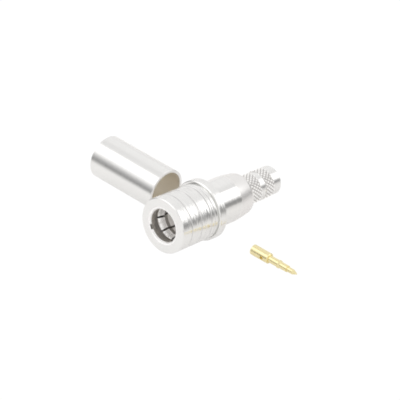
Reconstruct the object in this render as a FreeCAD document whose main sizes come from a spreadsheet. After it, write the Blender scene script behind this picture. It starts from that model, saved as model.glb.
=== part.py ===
import FreeCAD, Part
import math
import os
import Sketcher

# Quick-lock coaxial crimp plug for a 6 mm cable, with its loose ferrule and centre contact.
# Every turned piece is drawn along its own X axis: a station is the distance behind the plug's
# front face, and a radius is measured from the axis. The set lies on the plane z = 0.

doc = FreeCAD.newDocument("quick_lock_crimp_plug")
sizes = doc.addObject("Spreadsheet::Sheet", "sizes")

DRIVING_SIZES = [
    # Clearances
    ("seat_gap", 0.02, "between pieces that are pressed or seated together"),
    ("slide_gap", 0.05, "between the sleeve and what it slides on"),
    ("spring_gap", 0.05, "at each end of the spring"),
    # Coupling sleeve, outside
    ("sleeve_radius", 5.0, "outer radius of the sleeve"),
    ("sleeve_edge", 0.28, "chamfer round the front face"),
    ("grip_rear", 10.25, "station of the sleeve's rear face"),
    ("grip_length", 1.73, "length of the raised grip at the rear"),
    ("grip_rise", 0.4, "how far the grip stands out from the sleeve"),
    ("grip_edge", 0.14, "chamfers of the grip"),
    ("relief_width", 0.2, "narrow groove in front of the grip"),
    ("relief_depth", 0.16, "its depth"),
    ("ring_groove_tail", 1.43, "from the last grip groove to the narrow groove"),
    ("ring_groove_pitch", 2.36, "from one grip groove to the next"),
    ("ring_groove_count", 3, "number of grip grooves"),
    ("ring_groove_width", 0.22, "width of a grip groove at the surface"),
    ("ring_groove_depth", 0.07, "depth of a grip groove"),
    # Coupling sleeve, inside
    ("mouth_play", 0.11, "from the hooks out to the bore of the front lip"),
    ("mouth_chamfer", 0.21, "radial size of the lead-in"),
    ("mouth_chamfer_length", 0.35, "axial size of the lead-in"),
    ("front_wall", 0.8, "thickness of the sleeve's front wall"),
    ("lip_nose", 0.4, "length of the unlocking nose behind the front wall"),
    ("lip_nose_wall", 0.06, "wall at the tip of the nose"),
    ("lip_nose_root", 0.19, "wall at the root of the nose"),
    ("lip_notch_width", 0.92, "width of the notches in the lip"),
    ("lip_notch_depth", 0.24, "depth of the notches in the lip"),
    ("lip_notch_count", 3, "number of notches"),
    ("finger_room_wall", 0.8, "wall of the sleeve round the fingers"),
    ("sleeve_wall", 0.4, "wall of the sleeve round the spring"),
    ("spring_room", 0.45, "radial room for the spring, down to the shell"),
    ("spring_room_length", 4.0, "length of the spring cavity"),
    ("rear_wall", 0.85, "thickness of the sleeve's rear wall"),
    # Latch collet
    ("finger_setback", 1.3, "from the front wall back to the finger noses"),
    ("finger_play", 0.58, "room for the fingers to spread"),
    ("latch_wall", 0.32, "wall of the fingers"),
    ("hook_nose_height", 0.08, "height of the hook at the nose"),
    ("hook_height", 0.45, "height of the hook at its land"),
    ("hook_ramp", 1.0, "length of the lead-in ramp"),
    ("hook_land", 0.25, "length of the land"),
    ("hook_catch", 0.1, "length of the sloped catch face"),
    ("latch_edge", 0.1, "outer chamfer of the noses"),
    ("finger_count", 8, "number of fingers"),
    ("slot_width", 0.26, "width of the slots"),
    ("collet_collar", 1.2, "length of the closed ring behind the slots"),
    ("latch_turn", 33.5, "angle of the first slot in degrees"),
    # Body shell
    ("shell_edge", 0.07, "fine chamfers of the shell"),
    ("shell_land", 1.26, "from the collet's end to the groove of the stop ring"),
    ("spigot_length", 1.5, "length of the spigot that carries the collet"),
    ("web_thickness", 1.9, "web between the outer contact and the stem"),
    ("web_lip", 0.35, "how far the web reaches in past the cable's bore"),
    ("stem_seat_depth", 3.75, "depth of the stem's socket"),
    ("stem_seat_wall", 1.15, "wall round the stem's socket"),
    # Stop ring and return spring
    ("stop_ring_play", 0.1, "between the stop ring and the sleeve"),
    ("stop_ring_thickness", 0.7, "axial thickness"),
    ("stop_ring_bite", 0.36, "how deep the ring sits in the shell"),
    ("stop_ring_slit", 1.2, "width of its gap"),
    ("wire_radius", 0.17, "radius of the spring wire"),
    ("spring_turns", 4.5, "turns of the spring"),
    # Outer contact and insulator
    ("outer_contact_radius", 2.3, "outside of the outer contact"),
    ("outer_contact_wall", 0.25, "its wall"),
    ("outer_contact_reach", 5.0, "how far it reaches in front of the web"),
    ("outer_contact_edge", 0.12, "chamfer of its front end"),
    ("insulator_reach", 4.0, "how far the insulator reaches in front of the web"),
    ("insulator_rear_reach", 1.95, "length of its wider hole"),
    ("insulator_dish", 0.25, "depth of the dish in the front face"),
    ("insulator_rim", 0.5, "width of the rim round the dish"),
    ("neck_play", 0.03, "round the contact's neck"),
    # Crimp stem
    ("plug_length", 26.93, "station of the stem's rear end"),
    ("cable_bore_radius", 1.95, "bore for the cable's dielectric"),
    ("stem_wall", 0.65, "wall of the plain stem"),
    ("stem_edge", 0.12, "chamfer of the stem's end"),
    ("stem_tail", 1.88, "plain stem behind the second knurl"),
    ("shoulder_collar", 0.6, "cylinder between the shell and the shoulder's curve"),
    ("shoulder_sweep", 8.06, "radius of the long curve"),
    ("shoulder_sweep_length", 2.25, "length of the long curve"),
    ("shoulder_drop", 0.32, "how far the long curve comes in"),
    ("shoulder_round", 1.3, "radius of the tight curve"),
    ("shoulder_round_length", 1.15, "length of the tight curve"),
    ("shoulder_step", 0.25, "step at the foot of the shoulder"),
    ("knurl_lead", 0.15, "from the shoulder to the first knurl"),
    ("knurl_gap", 1.15, "plain stem between the knurls"),
    ("knurl_front_rows", 6, "half rows of diamonds on the first knurl"),
    ("knurl_rear_rows", 5, "half rows of diamonds on the second knurl"),
    ("knurl_row", 0.4, "axial length of half a diamond"),
    ("knurl_count", 24, "diamonds round the stem"),
    ("knurl_rise", 0.18, "how far the diamonds' tips stand out from the stem"),
    ("knurl_sink", 0.1, "how far the valleys between them lie below it"),
    ("knurl_core", 0.1, "from the valleys down to the bar that carries them"),
    # Crimp ferrule
    ("ferrule_radius", 3.99, "outside of the ferrule"),
    ("ferrule_wall", 0.51, "its wall"),
    ("ferrule_length", 14.7, "length of the ferrule"),
    ("ferrule_edge", 0.07, "chamfers of its ends"),
    # Centre contact, with its own stations from the open end of the pot
    ("contact_length", 9.85, "whole length of the contact"),
    ("pot_radius", 0.95, "outside of the pot"),
    ("pot_wall", 0.19, "wall of the pot"),
    ("pot_length", 3.74, "station of the pot's front shoulder"),
    ("pot_floor", 0.34, "from the drill point to the front shoulder"),
    ("pot_drill_point", 0.4, "length of the drill point"),
    ("pot_edge", 0.1, "chamfer of the shoulder"),
    ("sight_hole_setback", 0.45, "from the end of the bore to the middle of the sight hole"),
    ("sight_hole_radius", 0.3, "radius of the sight hole"),
    ("neck_radius", 0.64, "neck in front of the pot"),
    ("barb_height", 0.11, "how far the barb stands out from the neck"),
    ("barb_land", 0.12, "land of the barb"),
    ("barb_slope", 0.4, "length of the barb's slope"),
    ("shank_radius", 0.6, "shank in front of the barb"),
    ("shank_length", 1.46, "length of the shank"),
    ("pin_length", 2.09, "length of the pin"),
    ("pin_radius", 0.46, "radius of the pin"),
    ("pin_point", 0.9, "length of the point"),
    ("pin_tip_radius", 0.06, "radius of the blunt tip"),
    # Layout of the set on the plane
    ("plug_x", 2.09, "front face of the plug"),
    ("plug_y", -13.09, "front face of the plug"),
    ("ferrule_x", -7.24, "mouth of the ferrule"),
    ("ferrule_y", -3.11, "mouth of the ferrule"),
    ("ferrule_yaw", 181.7, "direction of the ferrule in degrees"),
    ("contact_x", 12.21, "open end of the contact's pot"),
    ("contact_y", -1.32, "open end of the contact's pot"),
    ("contact_yaw", 2.2, "direction of the contact in degrees"),
    ("contact_roll", 173.0, "turn of the sight hole in degrees"),
]

# Radii and stations that follow from the sizes above, as sums of their names
FOLLOWING_SIZES = {
    # Radii, from the outside of the sleeve inwards
    "grip_radius": "sleeve_radius + grip_rise",
    "spring_room_radius": "sleeve_radius - sleeve_wall",
    "stop_ring_radius": "spring_room_radius - stop_ring_play",
    "shell_radius": "spring_room_radius - spring_room",
    "stop_ring_bore": "shell_radius - stop_ring_bite",
    "stem_seat_radius": "shell_radius - stem_seat_wall",
    "finger_room_radius": "sleeve_radius - finger_room_wall",
    "latch_radius": "finger_room_radius - finger_play - latch_wall",
    "hook_nose_radius": "latch_radius - hook_nose_height",
    "hook_radius": "latch_radius - hook_height",
    "mouth_radius": "hook_radius + mouth_play",
    "outer_contact_bore": "outer_contact_radius - outer_contact_wall",
    "stem_radius": "cable_bore_radius + stem_wall",
    "web_bore_radius": "cable_bore_radius - web_lip",
    "shoulder_knee_radius": "shell_radius - shoulder_drop",
    "shoulder_foot_radius": "stem_radius + shoulder_step",
    "knurl_tip_radius": "stem_radius + knurl_rise",
    "knurl_valley_radius": "stem_radius - knurl_sink",
    "knurl_root_radius": "knurl_valley_radius - knurl_core",
    "ferrule_bore": "ferrule_radius - ferrule_wall",
    "pot_bore": "pot_radius - pot_wall",
    "barb_radius": "neck_radius + barb_height",
    # Stations of the sleeve and what moves with it, from its rear face
    "grip_front": "grip_rear - grip_length",
    "relief_front": "grip_front - relief_width",
    "ring_groove_last": "relief_front - ring_groove_tail",
    "rear_wall_front": "grip_rear - rear_wall",
    "spring_room_front": "rear_wall_front - spring_room_length",
    "stop_ring_rear": "rear_wall_front - seat_gap",
    "stop_ring_front": "stop_ring_rear - stop_ring_thickness",
    "lip_rear": "front_wall + lip_nose",
    "latch_front": "front_wall + finger_setback",
    "hook_land_front": "latch_front + hook_ramp",
    "hook_land_rear": "hook_land_front + hook_land",
    "latch_rear": "stop_ring_front - seat_gap - shell_land",
    "spigot_front": "latch_rear - spigot_length",
    # Stations of the body, from the rear end of the stem
    "knurl_rear_end": "plug_length - stem_tail",
    "knurl_rear_start": "knurl_rear_end - knurl_rear_rows * knurl_row",
    "knurl_front_end": "knurl_rear_start - knurl_gap",
    "knurl_front_start": "knurl_front_end - knurl_front_rows * knurl_row",
    "shoulder_rear": "knurl_front_start - knurl_lead",
    "shoulder_knee": "shoulder_rear - shoulder_round_length",
    "shoulder_start": "shoulder_knee - shoulder_sweep_length",
    "shell_rear": "shoulder_start - shoulder_collar",
    "stem_seat_front": "shell_rear - stem_seat_depth",
    "contact_seat_rear": "stem_seat_front - web_thickness",
    "outer_contact_front": "contact_seat_rear - outer_contact_reach",
    "insulator_front": "contact_seat_rear - insulator_reach",
    "insulator_step": "contact_seat_rear - insulator_rear_reach",
    # Stations of the centre contact
    "pot_drill_end": "pot_length - pot_floor",
    "pot_depth": "pot_drill_end - pot_drill_point",
    "sight_hole_station": "pot_depth - sight_hole_setback",
    "pin_station": "contact_length - pin_length",
    "pin_point_station": "contact_length - pin_point",
    "barb_slope_end": "pin_station - shank_length",
    "barb_land_end": "barb_slope_end - barb_slope",
    "barb_station": "barb_land_end - barb_land",
}


def fill_sheet():
    """One row for each size: its name, its value under an alias, and what it is."""
    for row, (alias, value, meaning) in enumerate(DRIVING_SIZES, start=1):
        sizes.set(f"A{row}", alias)
        sizes.set(f"B{row}", str(value))
        sizes.setAlias(f"B{row}", alias)
        sizes.set(f"C{row}", meaning)
    doc.recompute()


def spelled_out(spec):
    """A sum such as "grip_front + grip_edge" as signed products of sizes in the sheet. A size
    that follows from others is replaced by its own sum."""
    terms = []
    sign, multiplied = 1, False
    for word in spec.split():
        if word in ("+", "-"):
            sign = 1 if word == "+" else -1
        elif word == "*":
            multiplied = True
        elif multiplied:
            terms[-1][1].append(word)
            multiplied = False
        elif word in FOLLOWING_SIZES:
            terms += [(sign * inner, names) for inner, names in spelled_out(FOLLOWING_SIZES[word])]
        else:
            terms.append((sign, [word]))
    return terms


def number(spec):
    """Value of a sum of size names."""
    total = 0.0
    for sign, names in spelled_out(spec):
        total += sign * math.prod(float(sizes.get(name)) for name in names)
    return total


def formula(spec):
    """The same sum as an expression that reads the sheet."""
    text = ""
    for sign, names in spelled_out(spec):
        product = " * ".join(f"sizes.{name}" for name in names)
        text += f" + {product}" if sign > 0 else f" - {product}"
    return text.removeprefix(" + ")


def new_body(name):
    return doc.addObject("PartDesign::Body", name)


def new_sketch(body, role, name):
    """Sketch on one of the body's own origin planes."""
    plane = next(item for item in body.Origin.OriginFeatures if item.Role == role)
    sketch = body.newObject("Sketcher::SketchObject", name)
    sketch.AttachmentSupport = (plane, [""])
    sketch.MapMode = "FlatFace"
    return sketch


def bind(sketch, kind, elements, spec):
    """Add a dimension to the sketch and tie it to the sheet."""
    index = sketch.addConstraint(Sketcher.Constraint(kind, *elements, number(spec)))
    sketch.setExpression(f"Constraints[{index}]", formula(spec))


def arc_between(start, end, radius):
    """Arc from start to end that bulges away from the axis, for a curve that runs rearward."""
    chord = end - start
    middle = (start + end) * 0.5
    across = FreeCAD.Vector(-chord.y, chord.x, 0)
    across.normalize()
    depth = math.sqrt(radius ** 2 - (chord.Length / 2) ** 2)
    centre = middle - across * depth
    first = math.atan2(end.y - centre.y, end.x - centre.x)
    last = math.atan2(start.y - centre.y, start.x - centre.x)
    circle = Part.Circle(centre, FreeCAD.Vector(0, 0, 1), radius)
    return Part.ArcOfCircle(circle, first, last)


def draw_outline(sketch, corners):
    """Closed outline through corners given as (station, radius), each a sum of size names.
    A third entry is the radius of an arc from that corner to the next. "axis" is zero."""
    points = []
    for corner in corners:
        station, height = (0.0 if spec == "axis" else number(spec) for spec in corner[:2])
        points.append(FreeCAD.Vector(station, height, 0))
    ends = []
    for index, corner in enumerate(corners):
        start, end = points[index], points[(index + 1) % len(points)]
        if len(corner) == 3:
            edge = sketch.addGeometry(arc_between(start, end, number(corner[2])))
            ends.append((edge, 2, 1))
        else:
            edge = sketch.addGeometry(Part.LineSegment(start, end))
            ends.append((edge, 1, 2))
    for index, (edge, _, last) in enumerate(ends):
        following, first, _ = ends[(index + 1) % len(ends)]
        sketch.addConstraint(Sketcher.Constraint("Coincident", edge, last, following, first))
    for corner, (edge, first, _) in zip(corners, ends):
        station, height = corner[:2]
        for spec, kind, axis in ((station, "DistanceX", -2), (height, "DistanceY", -1)):
            if spec == "axis":
                sketch.addConstraint(Sketcher.Constraint("PointOnObject", edge, first, axis))
            else:
                bind(sketch, kind, (-1, 1, edge, first), spec)
        if len(corner) == 3:
            bind(sketch, "Radius", (edge,), corner[2])


def turned_piece(name, corners):
    """Body turned about its X axis from a half section."""
    body = new_body(name)
    sketch = new_sketch(body, "XY_Plane", f"{name}_section")
    draw_outline(sketch, corners)
    turning = body.newObject("PartDesign::Revolution", f"{name}_turning")
    turning.Profile = sketch
    turning.ReferenceAxis = (sketch, ["H_Axis"])
    turning.Angle = 360
    sketch.Visibility = False
    doc.recompute()
    return body


def cut_groove(body, name, corners):
    """Groove turned into a body, from a half section of what is taken away."""
    before = body.Shape.Volume
    sketch = new_sketch(body, "XY_Plane", f"{name}_section")
    draw_outline(sketch, corners)
    groove = body.newObject("PartDesign::Groove", name)
    groove.Profile = sketch
    groove.ReferenceAxis = (sketch, ["H_Axis"])
    groove.Angle = 360
    doc.recompute()
    expect_less(body, before, name)
    return groove


def cut_radial_slot(body, name, width, inner, outer, length):
    """Slot through the wall above the axis, from the front plane back to a length."""
    before = body.Shape.Volume
    half, low, high = number(width) / 2, number(inner), number(outer)
    corners = [(-half, low), (half, low), (half, high), (-half, high)]
    points = [FreeCAD.Vector(across, up, 0) for across, up in corners]
    sketch = new_sketch(body, "YZ_Plane", f"{name}_section")
    for index in range(4):
        sketch.addGeometry(Part.LineSegment(points[index], points[(index + 1) % 4]))
    for index in range(4):
        following = (index + 1) % 4
        sketch.addConstraint(Sketcher.Constraint("Coincident", index, 2, following, 1))
    sketch.addConstraint(Sketcher.Constraint("Symmetric", 0, 1, 0, 2, -2))
    sketch.addConstraint(Sketcher.Constraint("Vertical", 1))
    sketch.addConstraint(Sketcher.Constraint("Horizontal", 2))
    sketch.addConstraint(Sketcher.Constraint("Vertical", 3))
    bind(sketch, "DistanceX", (0, 1, 0, 2), width)
    bind(sketch, "DistanceY", (-1, 1, 0, 1), inner)
    bind(sketch, "DistanceY", (-1, 1, 2, 1), outer)
    pocket = body.newObject("PartDesign::Pocket", name)
    pocket.Profile = sketch
    pocket.Reversed = True
    pocket.Length = number(length)
    pocket.setExpression("Length", formula(length))
    doc.recompute()
    expect_less(body, before, name)
    return pocket


def repeat_round(body, feature, name, count):
    """Repeat a cut evenly round the piece's axis."""
    pattern = body.newObject("PartDesign::PolarPattern", name)
    pattern.Originals = [feature]
    pattern.Axis = (feature.Profile[0], ["N_Axis"])
    pattern.Angle = 360
    pattern.Occurrences = int(number(count))
    pattern.setExpression("Occurrences", formula(count))
    body.Tip = pattern
    doc.recompute()


def expect_less(body, before, name):
    if body.Shape.Volume > before - 1e-6:
        raise RuntimeError(f"{name} takes nothing away")


def solid_from(faces):
    """Closed solid from the flat faces of its skin."""
    skin = Part.makeShell(faces)
    skin.sewShape()
    solid = Part.Solid(skin)
    if solid.Volume < 0:
        solid.reverse()
    return solid


def make_coupling_sleeve():
    """Sleeve turned in one piece: thick front wall with the unlocking nose, a cavity for the
    fingers, a wider one for spring and stop ring, and a rear wall that slides on the shell."""
    sleeve = turned_piece("coupling_sleeve", [
        ("axis", "mouth_radius + mouth_chamfer"),
        ("axis", "sleeve_radius - sleeve_edge"),
        ("sleeve_edge", "sleeve_radius"),
        ("relief_front", "sleeve_radius"),
        ("relief_front", "sleeve_radius - relief_depth"),
        ("grip_front", "sleeve_radius - relief_depth"),
        ("grip_front", "grip_radius - grip_edge"),
        ("grip_front + grip_edge", "grip_radius"),
        ("grip_rear - grip_edge", "grip_radius"),
        ("grip_rear", "grip_radius - grip_edge"),
        ("grip_rear", "shell_radius + slide_gap"),
        ("rear_wall_front", "shell_radius + slide_gap"),
        ("rear_wall_front", "spring_room_radius"),
        ("spring_room_front", "spring_room_radius"),
        ("spring_room_front", "finger_room_radius"),
        ("front_wall", "finger_room_radius"),
        ("front_wall", "mouth_radius + lip_nose_root"),
        ("lip_rear", "mouth_radius + lip_nose_wall"),
        ("lip_rear", "mouth_radius"),
        ("mouth_chamfer_length", "mouth_radius"),
    ])
    floor = "sleeve_radius - ring_groove_depth"
    groove = cut_groove(sleeve, "grip_groove", [
        ("ring_groove_last - ring_groove_width", "sleeve_radius + ring_groove_depth"),
        ("ring_groove_last", floor),
        ("ring_groove_last + ring_groove_width", "sleeve_radius + ring_groove_depth"),
    ])
    row = sleeve.newObject("PartDesign::LinearPattern", "grip_groove_row")
    row.Originals = [groove]
    row.Direction = (groove.Profile[0], ["H_Axis"])
    row.Reversed = True
    row.Mode = "Spacing"
    row.Offset = number("ring_groove_pitch")
    row.setExpression("Offset", formula("ring_groove_pitch"))
    row.Occurrences = int(number("ring_groove_count"))
    row.setExpression("Occurrences", formula("ring_groove_count"))
    sleeve.Tip = row
    doc.recompute()
    notch = cut_radial_slot(
        sleeve, "lip_notch", "lip_notch_width", "mouth_radius - mouth_chamfer",
        "mouth_radius + lip_notch_depth", "lip_rear",
    )
    repeat_round(sleeve, notch, "lip_notch_ring", "lip_notch_count")
    return sleeve


def make_latch_collet():
    """Spring tube slit into fingers, whose hooks lead in at a ramp and catch at a steep face."""
    collet = turned_piece("latch_collet", [
        ("latch_front", "hook_nose_radius"),
        ("latch_front", "latch_radius + latch_wall - latch_edge"),
        ("latch_front + latch_edge", "latch_radius + latch_wall"),
        ("latch_rear - seat_gap", "latch_radius + latch_wall"),
        ("latch_rear - seat_gap", "latch_radius"),
        ("hook_land_rear + hook_catch", "latch_radius"),
        ("hook_land_rear", "hook_radius"),
        ("hook_land_front", "hook_radius"),
    ])
    slot = cut_radial_slot(
        collet, "finger_slot", "slot_width", "hook_radius - latch_wall",
        "latch_radius + latch_wall + latch_wall", "latch_rear - collet_collar",
    )
    repeat_round(collet, slot, "finger_slot_ring", "finger_count")
    return collet


def make_body_shell():
    """Turned shell: a spigot that carries the collet, the cylinder that the sleeve slides on,
    a groove for the stop ring, and sockets for the outer contact and the stem."""
    shell = turned_piece("body_shell", [
        ("spigot_front", "outer_contact_radius + seat_gap"),
        ("spigot_front", "latch_radius - seat_gap - shell_edge"),
        ("spigot_front + shell_edge", "latch_radius - seat_gap"),
        ("latch_rear", "latch_radius - seat_gap"),
        ("latch_rear", "shell_radius - shell_edge"),
        ("latch_rear + shell_edge", "shell_radius"),
        ("shell_rear - shell_edge", "shell_radius"),
        ("shell_rear", "shell_radius - shell_edge"),
        ("shell_rear", "stem_seat_radius + seat_gap"),
        ("stem_seat_front", "stem_seat_radius + seat_gap"),
        ("stem_seat_front", "web_bore_radius"),
        ("contact_seat_rear", "web_bore_radius"),
        ("contact_seat_rear", "outer_contact_radius + seat_gap"),
    ])
    cut_groove(shell, "stop_ring_groove", [
        ("stop_ring_front - seat_gap", "stop_ring_bore - seat_gap"),
        ("stop_ring_front - seat_gap", "shell_radius + stop_ring_bite"),
        ("stop_ring_rear + seat_gap", "shell_radius + stop_ring_bite"),
        ("stop_ring_rear + seat_gap", "stop_ring_bore - seat_gap"),
    ])
    return shell


def make_stop_ring():
    """Open snap ring in the shell's groove. The spring bears on its front, and the sleeve's
    rear wall comes to rest on its back."""
    ring = turned_piece("stop_ring", [
        ("stop_ring_front", "stop_ring_bore"),
        ("stop_ring_front", "stop_ring_radius"),
        ("stop_ring_rear", "stop_ring_radius"),
        ("stop_ring_rear", "stop_ring_bore"),
    ])
    cut_radial_slot(
        ring, "stop_ring_gap", "stop_ring_slit", "stop_ring_bore - stop_ring_bite",
        "stop_ring_radius + stop_ring_bite", "rear_wall_front",
    )
    return ring


def coil_of_wire(coil_radius, wire_radius, height, turns):
    """Solid coil round the Z axis. The wire is six-sided, with flat facets from one step of
    the turn to the next."""
    steps_per_turn, sides = 24, 6
    steps = round(steps_per_turn * turns)

    def point(step, side):
        around = 2 * math.pi * turns * step / steps
        across = 2 * math.pi * side / sides
        reach = coil_radius + wire_radius * math.cos(across)
        rise = height * step / steps + wire_radius * math.sin(across)
        return FreeCAD.Vector(reach * math.cos(around), reach * math.sin(around), rise)

    faces = []
    for step in range(steps):
        for side in range(sides):
            near, far = point(step, side), point(step + 1, side)
            next_near, next_far = point(step, side + 1), point(step + 1, side + 1)
            faces.append(Part.Face(Part.makePolygon([near, far, next_far, near])))
            faces.append(Part.Face(Part.makePolygon([near, next_far, next_near, near])))
    for step in (0, steps):
        end = [point(step, side) for side in range(sides)]
        faces.append(Part.Face(Part.makePolygon(end + end[:1])))
    return solid_from(faces)


def make_return_spring():
    """Coil between the step in the sleeve and the stop ring. Its own axis is Z."""
    front = number("spring_room_front + spring_gap + wire_radius")
    rear = number("stop_ring_front - spring_gap - wire_radius")
    coil_radius = number("shell_radius + spring_room_radius") / 2
    spring = doc.addObject("Part::Feature", "return_spring")
    spring.Shape = coil_of_wire(
        coil_radius, number("wire_radius"), rear - front, number("spring_turns")
    )
    return spring


def make_outer_contact():
    """Tube of the outer conductor, pressed into the shell."""
    return turned_piece("outer_contact", [
        ("outer_contact_front", "outer_contact_bore"),
        ("outer_contact_front", "outer_contact_radius - outer_contact_edge"),
        ("outer_contact_front + outer_contact_edge", "outer_contact_radius"),
        ("contact_seat_rear - seat_gap", "outer_contact_radius"),
        ("contact_seat_rear - seat_gap", "outer_contact_bore"),
    ])


def make_insulator():
    """Bead in the outer contact, dished in front, with a stepped hole for the centre contact."""
    outer = "outer_contact_bore - seat_gap"
    return turned_piece("insulator", [
        ("insulator_front + insulator_dish", "shank_radius + seat_gap"),
        ("insulator_front + insulator_dish", f"{outer} - insulator_rim"),
        ("insulator_front", f"{outer} - insulator_rim"),
        ("insulator_front", outer),
        ("contact_seat_rear - seat_gap", outer),
        ("contact_seat_rear - seat_gap", "neck_radius + neck_play"),
        ("insulator_step", "neck_radius + neck_play"),
        ("insulator_step", "shank_radius + seat_gap"),
    ])


def knurled_bar(start, rows):
    """Solid bar covered in raised diamonds. Valley points and tips alternate round each half
    row, and every diamond is four flat flanks from its tip down to the four valley points."""
    around = int(number("knurl_count"))
    row_length = number("knurl_row")
    step = 2 * math.pi / around
    valley_radius, tip_radius = number("knurl_valley_radius"), number("knurl_tip_radius")

    def point(row, turns, radius):
        angle = turns * step
        return FreeCAD.Vector(
            start + row * row_length, radius * math.cos(angle), radius * math.sin(angle)
        )

    faces = []
    for row in range(rows + 1):
        offset = 0.5 * (row % 2)
        for index in range(around):
            left = point(row, index + offset, valley_radius)
            right = point(row, (index + 1) % around + offset, valley_radius)
            tip = point(row, index + offset + 0.5, tip_radius)
            for other in (row - 1, row + 1):
                if 0 <= other <= rows:
                    foot = point(other, index + offset + 0.5, valley_radius)
                    faces.append(Part.Face(Part.makePolygon([tip, left, foot, tip])))
                    faces.append(Part.Face(Part.makePolygon([tip, foot, right, tip])))
    for row in (0, rows):
        offset = 0.5 * (row % 2)
        rim = []
        for index in range(around):
            rim.append(point(row, index + offset, valley_radius))
            rim.append(point(row, index + offset + 0.5, tip_radius))
        faces.append(Part.Face(Part.makePolygon(rim + rim[:1])))
    return solid_from(faces)


def make_crimp_stem():
    """Rear piece of the body: a spigot in the shell, a rounded shoulder, and the stem with two
    bands of diamond knurl that bite the cable's braid under the crimped ferrule."""
    core = turned_piece("stem_core", [
        ("stem_seat_front + seat_gap", "axis"),
        ("stem_seat_front + seat_gap", "stem_seat_radius"),
        ("shell_rear", "stem_seat_radius"),
        ("shell_rear", "shell_radius - shell_edge"),
        ("shell_rear + shell_edge", "shell_radius"),
        ("shoulder_start", "shell_radius", "shoulder_sweep"),
        ("shoulder_knee", "shoulder_knee_radius", "shoulder_round"),
        ("shoulder_rear", "shoulder_foot_radius"),
        ("shoulder_rear", "stem_radius"),
        ("knurl_front_start", "stem_radius"),
        ("knurl_front_start", "knurl_root_radius"),
        ("knurl_front_end", "knurl_root_radius"),
        ("knurl_front_end", "stem_radius"),
        ("knurl_rear_start", "stem_radius"),
        ("knurl_rear_start", "knurl_root_radius"),
        ("knurl_rear_end", "knurl_root_radius"),
        ("knurl_rear_end", "stem_radius"),
        ("plug_length - stem_edge", "stem_radius"),
        ("plug_length", "stem_radius - stem_edge"),
        ("plug_length", "axis"),
    ])
    bands = []
    for name in ("knurl_front", "knurl_rear"):
        band = doc.addObject("Part::Feature", name)
        band.Shape = knurled_bar(number(f"{name}_start"), int(number(f"{name}_rows")))
        bands.append(band)
    blank = doc.addObject("Part::MultiFuse", "stem_blank")
    blank.Shapes = [core] + bands
    bore = doc.addObject("Part::Cylinder", "cable_bore")
    bore.Radius = number("cable_bore_radius")
    bore.setExpression("Radius", formula("cable_bore_radius"))
    bore.Height = number("plug_length")
    bore.setExpression("Height", formula("plug_length"))
    quarter_turn = FreeCAD.Rotation(FreeCAD.Vector(0, 1, 0), 90)
    bore.Placement = FreeCAD.Placement(FreeCAD.Vector(number("slide_gap"), 0, 0), quarter_turn)
    stem = doc.addObject("Part::Cut", "crimp_stem")
    stem.Base = blank
    stem.Tool = bore
    doc.recompute()
    return stem


def make_crimp_ferrule():
    """Plain tube that is slid over the braid and crimped."""
    return turned_piece("crimp_ferrule", [
        ("axis", "ferrule_bore + ferrule_edge"),
        ("axis", "ferrule_radius - ferrule_edge"),
        ("ferrule_edge", "ferrule_radius"),
        ("ferrule_length - ferrule_edge", "ferrule_radius"),
        ("ferrule_length", "ferrule_radius - ferrule_edge"),
        ("ferrule_length", "ferrule_bore + ferrule_edge"),
        ("ferrule_length - ferrule_edge", "ferrule_bore"),
        ("ferrule_edge", "ferrule_bore"),
    ])


def make_centre_contact():
    """Turned pin: a drilled pot for the inner conductor, a neck, a barb that bites the
    insulator, a shank, and a thin pointed pin."""
    contact = turned_piece("centre_contact", [
        ("axis", "pot_bore"),
        ("axis", "pot_radius"),
        ("pot_length - pot_edge", "pot_radius"),
        ("pot_length", "pot_radius - pot_edge"),
        ("pot_length", "neck_radius"),
        ("barb_station", "neck_radius"),
        ("barb_station", "barb_radius"),
        ("barb_land_end", "barb_radius"),
        ("barb_slope_end", "shank_radius"),
        ("pin_station", "shank_radius"),
        ("pin_station", "pin_radius"),
        ("pin_point_station", "pin_radius"),
        ("contact_length", "pin_tip_radius"),
        ("contact_length", "axis"),
        ("pot_drill_end", "axis"),
        ("pot_depth", "pot_bore"),
    ])
    before = contact.Shape.Volume
    sketch = new_sketch(contact, "XZ_Plane", "sight_hole_section")
    centre = FreeCAD.Vector(number("sight_hole_station"), 0, 0)
    upward = FreeCAD.Vector(0, 0, 1)
    sketch.addGeometry(Part.Circle(centre, upward, number("sight_hole_radius")))
    sketch.addConstraint(Sketcher.Constraint("PointOnObject", 0, 3, -1))
    bind(sketch, "DistanceX", (-1, 1, 0, 3), "sight_hole_station")
    bind(sketch, "Radius", (0,), "sight_hole_radius")
    hole = contact.newObject("PartDesign::Pocket", "sight_hole")
    hole.Profile = sketch
    hole.Reversed = True
    hole.Length = number("pot_radius + pot_edge")
    hole.setExpression("Length", formula("pot_radius + pot_edge"))
    doc.recompute()
    expect_less(contact, before, "sight_hole")
    return contact


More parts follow.
